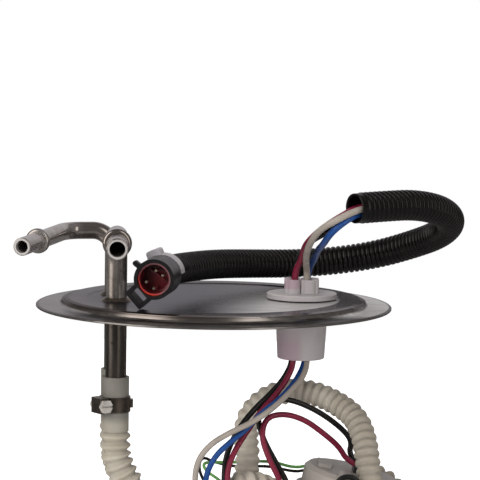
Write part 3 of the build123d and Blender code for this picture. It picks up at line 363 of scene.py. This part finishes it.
braze = plain("braze", colour(136, 128, 120), 0.34, metallic=1.0, spread=0.3, scale=400.0, grain=0.2)
clampSteel = plain("clampSteel", colour(116, 108, 100), 0.34, metallic=1.0, spread=0.25, scale=300.0)
screwSteel = plain("screwSteel", colour(196, 190, 182), 0.3, metallic=0.35, spread=0.15, scale=300.0)
blackRubber = plain("blackRubber", colour(34, 33, 33), 0.6)
blackPlastic = plain("blackPlastic", colour(18, 17, 19), 0.34, spread=0.2, scale=300.0)
ferrite = plain("ferrite", colour(60, 60, 62), 0.6)
capNylon = plain("capNylon", colour(148, 141, 134), 0.4, spread=0.06, scale=60.0, grain=0.05,
                 sockets=glow(0.15))
materials = {
    "flange_plate": flange.material,
    "supply_tube": tube.material,
    "return_tube": tube.material,
    "tube_braze_rings": braze,
    "pass_through_body": passNylon.material,
    "pass_through_seal": blackRubber,
    "pass_through_pins": plain("brass", colour(196, 168, 104), 0.25, metallic=1.0),
    "connector_shell": blackPlastic,
    "connector_insert": redInsert.material,
    "connector_pins": plain("paleContacts", colour(222, 212, 196), 0.22, metallic=1.0),
    "connector_collar": plain("greyCollar", colour(164, 159, 162), 0.4, spread=0.1),
    "supply_hose_cuffs": clearCuff.material,
    "return_hose_cuffs": clearCuff.material,
    "hose_clamp_bands": clampSteel,
    "hose_clamp_screws": screwSteel,
    "pump_cap": capNylon,
    "pump_housing": capNylon,
    "strainer_neck": capNylon,
    "sender_housing": capNylon,
    "sender_wiper": capNylon,
    "port_ring": plain("ringRubber", colour(22, 22, 22), 0.3),
    "outlet_coupler": blackRubber,
    "pump_isolator": blackRubber,
    "pump_case": plain("caseSteel", colour(168, 168, 168), 0.28, metallic=1.0),
    "pump_end_cap": blackPlastic,
    "pump_inlet_cover": blackPlastic,
    "pump_impeller": blackPlastic,
    "pump_plug": blackPlastic,
    "sender_plug": blackPlastic,
    "pump_magnets": ferrite,
    "pump_brushes": ferrite,
    "pump_armature": plain("armatureMetal", colour(120, 104, 90), 0.45, metallic=1.0),
    "check_ball": plain("ballCeramic", colour(214, 214, 208), 0.2),
    "sender_card": plain("ceramic", colour(206, 204, 196), 0.35),
    "float_arm": plain("wireSteel", colour(176, 176, 178), 0.25, metallic=1.0),
    "level_float": plain("floatFoam", colour(40, 40, 42), 0.75, spread=0.25, scale=500.0, grain=0.5),
    "strainer_sock": plain("sockMesh", colour(188, 186, 180), 0.8, spread=0.1, scale=900.0, grain=0.6),
}
wireShades = {
    "red": colour(106, 24, 46), "white": colour(144, 135, 126), "blue": colour(26, 64, 122),
    "black": colour(21, 20, 20), "green": colour(100, 156, 82),
}
wireFinish = {key: plain(key + "Wire", shade, 0.24, spread=0.08, scale=200.0, grain=0.03)
              for key, shade in wireShades.items()}
materials["wire_bundle"] = wireFinish["black"]

for name, material in materials.items():
    nodes[name].data.materials.clear()
    nodes[name].data.materials.append(material)
print("finishes made")


def metres(points):
    return [Vector(p) / 1000 for p in points]


unit = {"tilt": 12.0, "capTop": (65.0, 0.0, -75.5)}
plug = {"turn": 8.0, "middle": (-25.5, -51.0, 17.5)}


# millimetres across, back and up in the pump unit's own tilted directions
def unitPoint(u, v, w):
    c, s = cos(radians(unit["tilt"])), sin(radians(unit["tilt"]))
    x, y, z = unit["capTop"]
    return (x + u * c + w * s, y + v, z - u * s + w * c)


# millimetres sideways, up and forward in the round connector's own turned directions
def connectorPoint(i, j, k):
    c, s = cos(radians(plug["turn"])), sin(radians(plug["turn"]))
    x, y, z = plug["middle"]
    return (x + i * c - k * s, y - i * s - k * c, z + j)


# routes are in millimetres and radii in metres; the lower wires are thinner than the upper ones
upperRadius, lowerRadius, senderRadius = 0.0015, 0.0013, 0.0007
wires = {
    "upper_wire_red": {"shade": "red", "radius": upperRadius, "route": [
        (36.4, -2.95, 6), (36.4, -2.95, 16), (39.6, -7.7, 22.9), (40.4, -16.4, 29.2),
        (42.7, -25.5, 33.7), (46.6, -32.9, 38.3), (50.8, -38.2, 42), (56.6, -38.2, 45.7),
        (62.4, -34.2, 48.6), (68.7, -29.9, 49.3),
    ]},
    "upper_wire_white": {"shade": "white", "radius": upperRadius, "route": [
        (42.3, -2.95, 6), (42.3, -2.95, 16), (41.4, -10.5, 21.3), (41.2, -20.5, 26.8),
        (42.6, -30.5, 32.9), (46.4, -38.8, 39.2), (52.2, -43.8, 43.2), (59.4, -42.3, 46.9),
        (65.4, -37.6, 48.6), (70.7, -32.8, 49.5),
    ]},
    "upper_wire_blue": {"shade": "blue", "radius": upperRadius, "route": [
        (42.3, 2.95, 6), (42.3, 2.95, 16), (45.5, -4.5, 22.9), (46.5, -17.5, 28.3),
        (48.2, -29.1, 31.6), (50.4, -37.9, 36.6), (54.3, -42, 41), (59.9, -39.9, 44.9),
        (64.8, -35.6, 46.6), (70.7, -32.8, 46.9),
    ]},
    "upper_wire_black": {"shade": "black", "radius": upperRadius, "route": [
        (36.4, 2.95, 6), (36.4, 2.95, 16), (38.5, -2.9, 23.1), (41.7, -10.6, 29.3),
        (44.1, -19.5, 33.1), (47.6, -27.6, 35.9), (52.4, -34.4, 39.6), (58.2, -35.6, 43.2),
        (63.6, -33.8, 45.8), (68.7, -29.9, 46),
    ]},
    "lower_wire_white": {"shade": "white", "radius": lowerRadius, "route": [
        (42.3, -2.95, -12), (43.4, -2.95, -23.5), (41.4, -7.9, -30.8), (34.4, -15.8, -37.4),
        (26.6, -23.4, -43.5), (17.9, -28, -48.7), (8.4, -29.4, -52.9), (-0.3, -29.5, -58.2),
        (-6.1, -29, -65.9), (-7.4, -29, -75.8), (-5.2, -27.5, -85.9), (-1.9, -23, -94.5),
        (2.6, -16, -99), (8, -8.5, -99.8), (12.8, -3, -103), (15.39, 0, -109.32),
    ]},
    "lower_wire_blue": {"shade": "blue", "radius": lowerRadius, "route": [
        (42.3, 2.95, -12), (43, 2.95, -23.5), (38.6, -4.1, -32.7), (30.8, -12.4, -40.3),
        (22.4, -20.4, -45.4), (16.1, -24.2, -51.8), (8.7, -26.1, -57.7), (1.4, -26.4, -64.5),
        (-2.8, -26.8, -74.5), (-2, -26.2, -85), (2.6, -22.1, -92.5), (8.1, -14.9, -96.4),
        (13.4, -7.9, -98.2), (17.8, -2.8, -102.5), (19.99, 0, -110.3),
    ]},
    "lower_wire_red": {"shade": "red", "radius": lowerRadius, "route": [
        (36.4, -2.95, -12), (37.4, -2.95, -24), (34, -5.9, -32.3), (28.5, -9.7, -39.4),
        (22, -14.9, -45.5), (16.4, -19.3, -53.6), (10.4, -22.1, -62.4), (6.9, -25, -72.2),
        (8.4, -26.8, -83.3), (15, -27, -92.4), (25.6, -27.5, -93.4), (32.4, -27.5, -85.7),
        (31.3, -26, -75.4), (26.1, -23.1, -66.3), (22.3, -20, -56.5), (24.2, -16.3, -48.4),
        (32.4, -13.1, -46.8), (42.1, -9.9, -50.1), (50.7, -7, -56.7), (58.2, -4, -63.4),
        (62, -2.2, -70.2), (66.9, -1.8, -72.5),
    ]},
    "lower_wire_black": {"shade": "black", "radius": lowerRadius, "route": [
        (36.4, 2.95, -12), (37, 2.95, -24), (32.8, -1.8, -32.6), (26.1, -7.3, -39.2),
        (18.7, -12.5, -45.6), (11.7, -16.6, -54), (6.8, -19.6, -64.2), (5.7, -22.2, -74.5),
        (6.9, -24.3, -85.9), (11.5, -27.5, -96.6), (20.8, -30.4, -101.2), (31.6, -31.5, -97.2),
        (36.9, -29.1, -87.1), (34.9, -24.8, -77.2), (29.3, -20, -68.5), (23, -15.2, -58),
        (20.1, -11.2, -47.8), (26.3, -7.5, -40.9), (36.6, -4.6, -42), (48.2, -1.8, -47.4),
        (58.3, 1.8, -54.9), (64.7, 4.1, -62), (63, 4, -68.8), (67, 3.4, -72.4),
    ]},
    "sender_wire_green": {"shade": "green", "radius": senderRadius, "route": [
        (50.6, 15.2, -77.2), (46.5, 22.3, -77.2), (38.9, 24.3, -79.6), (27.5, 25.6, -76.4),
        (13.9, 24.9, -77.2), (1.9, 20.9, -76.6), (-4.4, 16.6, -75.9), (-3.2, 13.9, -79.2),
        (4.4, 13.5, -84), (12.6, 13.2, -91.9), (20.3, 11, -100.2), (26.5, 5.5, -108.5),
        (25.5, 1.5, -119.4),
    ]},
    "sender_wire_black": {"shade": "black", "radius": senderRadius, "route": [
        (49.2, 14.8, -79.5), (45, 22.4, -79.6), (38.9, 26.8, -82), (26.4, 28.5, -79.3),
        (12.3, 27.7, -80.2), (0.9, 23.4, -77.2), (-4.8, 18.8, -73.3), (-6.6, 15, -78.5),
        (-2.4, 13.7, -86.9), (6, 14, -95.1), (14, 12, -102.1), (22.3, 7, -108.8), (23.5, 1.5, -119),
    ]},
}

# routes are in millimetres and sizes in metres: "start" and "plain" are the stretches without ribs at the two
# ends, and "drop" is how far under the crests the plain one lies; a "round" over 1 makes the crests narrow
corrugated = {
    "supply_hose": {
        "crest": 0.00695, "valley": 0.0051, "bore": 0.0045, "pitch": 0.0045, "round": 1.6,
        "start": 0.0, "plain": 0.0, "drop": 0.0, "finish": hoseNylon, "end": "object",
        "route": [
            (-43.7, -15, -55.5), (-43.7, -15, -64.5), (-42.4, -14.9, -70.2), (-38.4, -14.8, -78.5),
            (-30.8, -14.9, -88), (-18.8, -15, -94.1), (-6.4, -15, -90.8), (4.3, -15, -83.8),
            (14.8, -14, -79.7), (24.1, -8.3, -82.4), (28.5, 3, -88.6), (30.9, 16, -93.1),
            (36.3, 28, -95.2), (47, 36, -92.5), (61.2, 38.1, -87), (75.8, 35.8, -84.7),
            (86.5, 28.8, -90.2), (90.5, 21.6, -102.6), unitPoint(32.3, 19, -35.55),
            unitPoint(32.3, 19, -48.35),
        ],
    },
    "return_hose": {
        "crest": 0.0058, "valley": 0.0048, "bore": 0.0042, "pitch": 0.0041, "round": 1.4,
        "start": 0.0, "plain": 0.0, "drop": 0.0, "finish": hoseNylon, "end": "object",
        "route": [
            (-46.6, 8.5, -55.5), (-46.6, 8.5, -66), (-44.5, 8, -77.5), (-38.1, 7, -88), (-28.2, 6, -96),
            (-16.1, 5, -100.5), (-3.1, 4, -99.4), (7.9, 3, -92.4), (15.2, 2.5, -82.7), (16.8, 4.9, -72),
            (15.5, 9.3, -62.3), (16.2, 12.4, -53), (24.3, 12.7, -44), (35.5, 11.9, -40.3),
            (46.9, 9.1, -40.8), (57.4, 2.6, -44.4), (65.8, -6.4, -49.6), (69.3, -16, -57.7),
            (70.3, -24.5, -67.6), (71.8, -30, -78.1), unitPoint(8.65, -31.5, -12),
            unitPoint(8.65, -31.5, -22.9),
        ],
    },
    "conduit": {
        "crest": 0.0069, "valley": 0.0058, "bore": 0.0056, "pitch": 0.00257, "round": 0.45,
        "start": 0.0105, "plain": 0.0032, "drop": 0.0003, "finish": conduitBlack, "end": "bare",
        "route": [
            connectorPoint(0, 0, -26.4), connectorPoint(0, 0, -40.4), (-12.5, 7, 17.1), (0.5, 29.1, 16.4),
            (17.5, 49, 14.7), (37, 61.9, 13.6), (58.3, 67.4, 14.7), (78.6, 65, 18.4), (94.9, 55.1, 24.5),
            (106.4, 38.7, 31), (109.9, 18.1, 38.8), (103.2, -0.9, 45.5), (89.6, -16.9, 49.1),
            (75, -28, 49), (61.5, -37, 48.5),
        ],
    },
}


def routeCurve(name, points, radius=0.0):
    data = bpy.data.curves.new(name, "CURVE")
    data.dimensions = "3D"
    data.resolution_u = 16
    data.bevel_depth = radius
    data.bevel_resolution = 7
    data.use_fill_caps = radius > 0
    spline = data.splines.new("NURBS")
    spline.points.add(len(points) - 1)
    for knot, point in zip(spline.points, points):
        knot.co = (*point, 1.0)
    spline.order_u = 3
    spline.use_endpoint_u = True
    spline.use_smooth = True
    return bpy.data.objects.new(name, data)


# the points of a route's smooth line, which Blender works out from a curve without thickness
def readPath(name, points):
    probe = routeCurve(name + "Probe", points)
    mesh = bpy.data.meshes.new_from_object(probe)
    path = [v.co.copy() for v in mesh.vertices]
    bpy.data.meshes.remove(mesh)
    bpy.data.objects.remove(probe)
    return path


def pathLength(path):
    return sum((b - a).length for a, b in zip(path, path[1:]))


# the distance and the point at each of the even steps along a path
def stations(path, steps):
    total = pathLength(path)
    placed, run, done = [], 0, 0.0
    for n in range(steps + 1):
        goal = total * n / steps
        while run < len(path) - 2 and done + (path[run + 1] - path[run]).length < goal:
            done += (path[run + 1] - path[run]).length
            run += 1
        a, b = path[run], path[run + 1]
        share = (goal - done) / max(1e-9, (b - a).length)
        placed.append((goal, a.lerp(b, min(1.0, max(0.0, share)))))
    return placed


# each station with the two directions of its ring, carried along so that the rings don't twist
def ringFrames(placed):
    out = []
    side = None
    for n, (along, point) in enumerate(placed):
        before = placed[max(0, n - 1)][1]
        after = placed[min(len(placed) - 1, n + 1)][1]
        forward = (after - before).normalized()
        if side is None:
            side = forward.orthogonal().normalized()
        side = (side - forward * side.dot(forward)).normalized()
        out.append((along, point, side, forward.cross(side)))
    return out


def addPiece(name, vertices, faces, material, smooth=True):
    mesh = bpy.data.meshes.new(name)
    mesh.from_pydata(vertices, [], faces)
    mesh.update()
    mesh.polygons.foreach_set("use_smooth", [smooth] * len(mesh.polygons))
    mesh.materials.append(material)
    piece = bpy.data.objects.new(name, mesh)
    bpy.context.scene.collection.objects.link(piece)
    return piece


ringTubes = {"stepsPerRib": 12, "around": 44, "boreEnds": 6, "boreEvery": 8, "startRise": 0.6}


# a tube whose outer radius changes along it, with a plain bore that needs fewer rings
def ringTube(name, path, outer, bore, steps, material):
    rows = ringFrames(stations(path, steps))
    ends, around = ringTubes["boreEnds"], ringTubes["around"]
    inside = rows[:1] + rows[ends:-ends:ringTubes["boreEvery"]] + rows[-1:]
    rings = [(row, outer(row[0])) for row in rows] + [(row, bore) for row in reversed(inside)]
    vertices, faces = [], []
    for n, ((along, point, side, up), radius) in enumerate(rings):
        for m in range(around):
            angle = 2 * pi * m / around
            vertices.append(point + (side * cos(angle) + up * sin(angle)) * radius)
            beside, after = (m + 1) % around, (n + 1) % len(rings)
            faces.append((n * around + m, n * around + beside, after * around + beside, after * around + m))
    return addPiece(name, vertices, faces, material)


# the radius at a distance along the tube: a smooth first stretch, ribs, and a plain end just under the crests
def corrugation(sizes, pitch, total):
    rise = sizes["crest"] - sizes["valley"]

    def radius(along):
        if along < sizes["start"]:
            return sizes["valley"] + rise * ringTubes["startRise"]
        if along > total - sizes["plain"]:
            return sizes["crest"] - sizes["drop"]
        return sizes["valley"] + rise * abs(sin(pi * along / pitch)) ** sizes["round"]
    return radius


for name, wire in wires.items():
    line = metres(wire["route"])
    radius = wire["radius"]
    piece = routeCurve(name + "Jacket", line, radius)
    piece.data.materials.append(wireFinish[wire["shade"]])
    bpy.context.scene.collection.objects.link(piece)
    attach(piece, module)
    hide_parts(name)
    pathLength(readPath(name, line))
print("wires made")

for name, sizes in corrugated.items():
    line = metres(sizes["route"])
    path = readPath(name, line)
    total = pathLength(path)
    ribs = round(total / sizes["pitch"])
    piece = ringTube(name + "Bellows", path, corrugation(sizes, total / ribs, total), sizes["bore"],
                     ribs * ringTubes["stepsPerRib"], sizes["finish"].material)
    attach(piece, module)
    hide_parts(name)
    2 * sizes["crest"]
print("hoses and conduit made")

# a pale floor that shows the camera white, keeps the shadow and looks dark in reflections
ground = {
    "drop": 0.004, "half": 1.5, "shade": colour(242, 242, 242), "mirroredShade": colour(70, 66, 62),
    "roughness": 0.9, "glow": 0.75, "mirrored": 0.15,
}
floorFinish = Finish("paleFloor", ground["shade"], ground["roughness"])
direct = floorFinish.add("ShaderNodeLightPath", out="Is Camera Ray")
mirror = floorFinish.add("ShaderNodeLightPath", out="Is Glossy Ray")
clear = floorFinish.add("ShaderNodeLightPath", out="Is Transmission Ray")
floorFinish.set("Base Color", floorFinish.mix(mirror, ground["shade"], ground["mirroredShade"]))
floorFinish.set("Emission Color", (1, 1, 1, 1))
floorFinish.set("Emission Strength", (direct + mirror * ground["mirrored"] + clear).clamp() * ground["glow"])
half, level = ground["half"], cadBounds[0][2] - ground["drop"]
corners = [(-half, -half, level), (half, -half, level), (half, half, level), (-half, half, level)]
floor = addPiece("floor", corners, [(0, 1, 2, 3)], floorFinish.material, False)

world = bpy.data.worlds.new("studio")
bpy.context.scene.world = world
world.use_nodes = True


# the world's nodes, made in the same way as a finish's
class Sky(Finish):
    def __init__(self, tree):
        self.tree = tree
        self.shader = tree.nodes["Background"]


# white to the camera, an even grey light, and softboxes that only reflections see; turns and edges are in
# degrees, and heights go from 0 at the horizon to 1 straight up
studio = {
    "rest": 0.5, "dim": 0.12,
    "leftBox": {"turn": -58.0, "inner": 12.0, "outer": 23.0, "level": 1.6},
    "rightBox": {"turn": 33.0, "inner": 5.0, "outer": 14.0, "level": 1.2},
    "backdrop": {"turn": 180.0, "inner": 26.0, "outer": 48.0, "level": 0.38},
    "frontFrom": (-0.26, -0.16), "frontTo": (0.72, 0.86), "backFrom": (0.0, 0.06), "backTo": (0.62, 0.78),
    "warm": (1.0, 0.92, 0.85, 1), "cool": (1.0, 0.95, 0.98, 1),
}
sky = Sky(world.node_tree)
direct = sky.add("ShaderNodeLightPath", out="Is Camera Ray")
mirror = sky.add("ShaderNodeLightPath", out="Is Glossy Ray")
clear = sky.add("ShaderNodeLightPath", out="Is Transmission Ray")
heading = sky.add("ShaderNodeTexCoord", out="Generated")
east, north, up = (sky.add("ShaderNodeSeparateXYZ", {}, {0: heading}, out=letter) for letter in "XYZ")
flat = (east * east + north * north) ** 0.5


def softbox(name):
    box = studio[name]
    facing = (east * sin(radians(box["turn"])) - north * cos(radians(box["turn"]))) / flat
    return facing.span(cos(radians(box["outer"])), cos(radians(box["inner"])))


frontHeight = up.span(*studio["frontFrom"]) * (1 - up.span(*studio["frontTo"]))
backdrop = softbox("backdrop") * up.span(*studio["backFrom"]) * (1 - up.span(*studio["backTo"]))
mirrored = studio["dim"] + softbox("leftBox") * frontHeight * studio["leftBox"]["level"] \
    + softbox("rightBox") * frontHeight * studio["rightBox"]["level"] \
    + backdrop * studio["backdrop"]["level"]
others = 1 - (direct + clear + mirror).clamp()
shades = sky.mix(backdrop, studio["warm"], studio["cool"])
sky.set("Color", sky.mix(mirror, (1, 1, 1, 1), shades))
sky.set("Strength", (direct + clear).clamp() + mirror * mirrored + others * studio["rest"])

# square lamps aimed at the middle of the flange
lamps = {
    "keySoftbox": {"place": (-0.55, -1.15, 0.42), "size": 0.7, "power": 15.0},
    "fillSoftbox": {"place": (0.9, -0.7, 0.2), "size": 0.5, "power": 2.0},
    "topSoftbox": {"place": (-0.1, 0.1, 1.1), "size": 0.9, "power": 5.0},
}
for name, lamp in lamps.items():
    data = bpy.data.lights.new(name, "AREA")
    data.shape = "SQUARE"
    data.size = lamp["size"]
    data.energy = lamp["power"]
    softLamp = bpy.data.objects.new(name, data)
    softLamp.location = lamp["place"]
    softLamp.visible_glossy = False
    softLamp.rotation_mode = "QUATERNION"
    softLamp.rotation_quaternion = (-Vector(lamp["place"])).to_track_quat("-Z", "Y")
    bpy.context.scene.collection.objects.link(softLamp)
bpy.context.scene.view_settings.view_transform = "Standard"
print("stage lit")

bpy.context.view_layer.update()
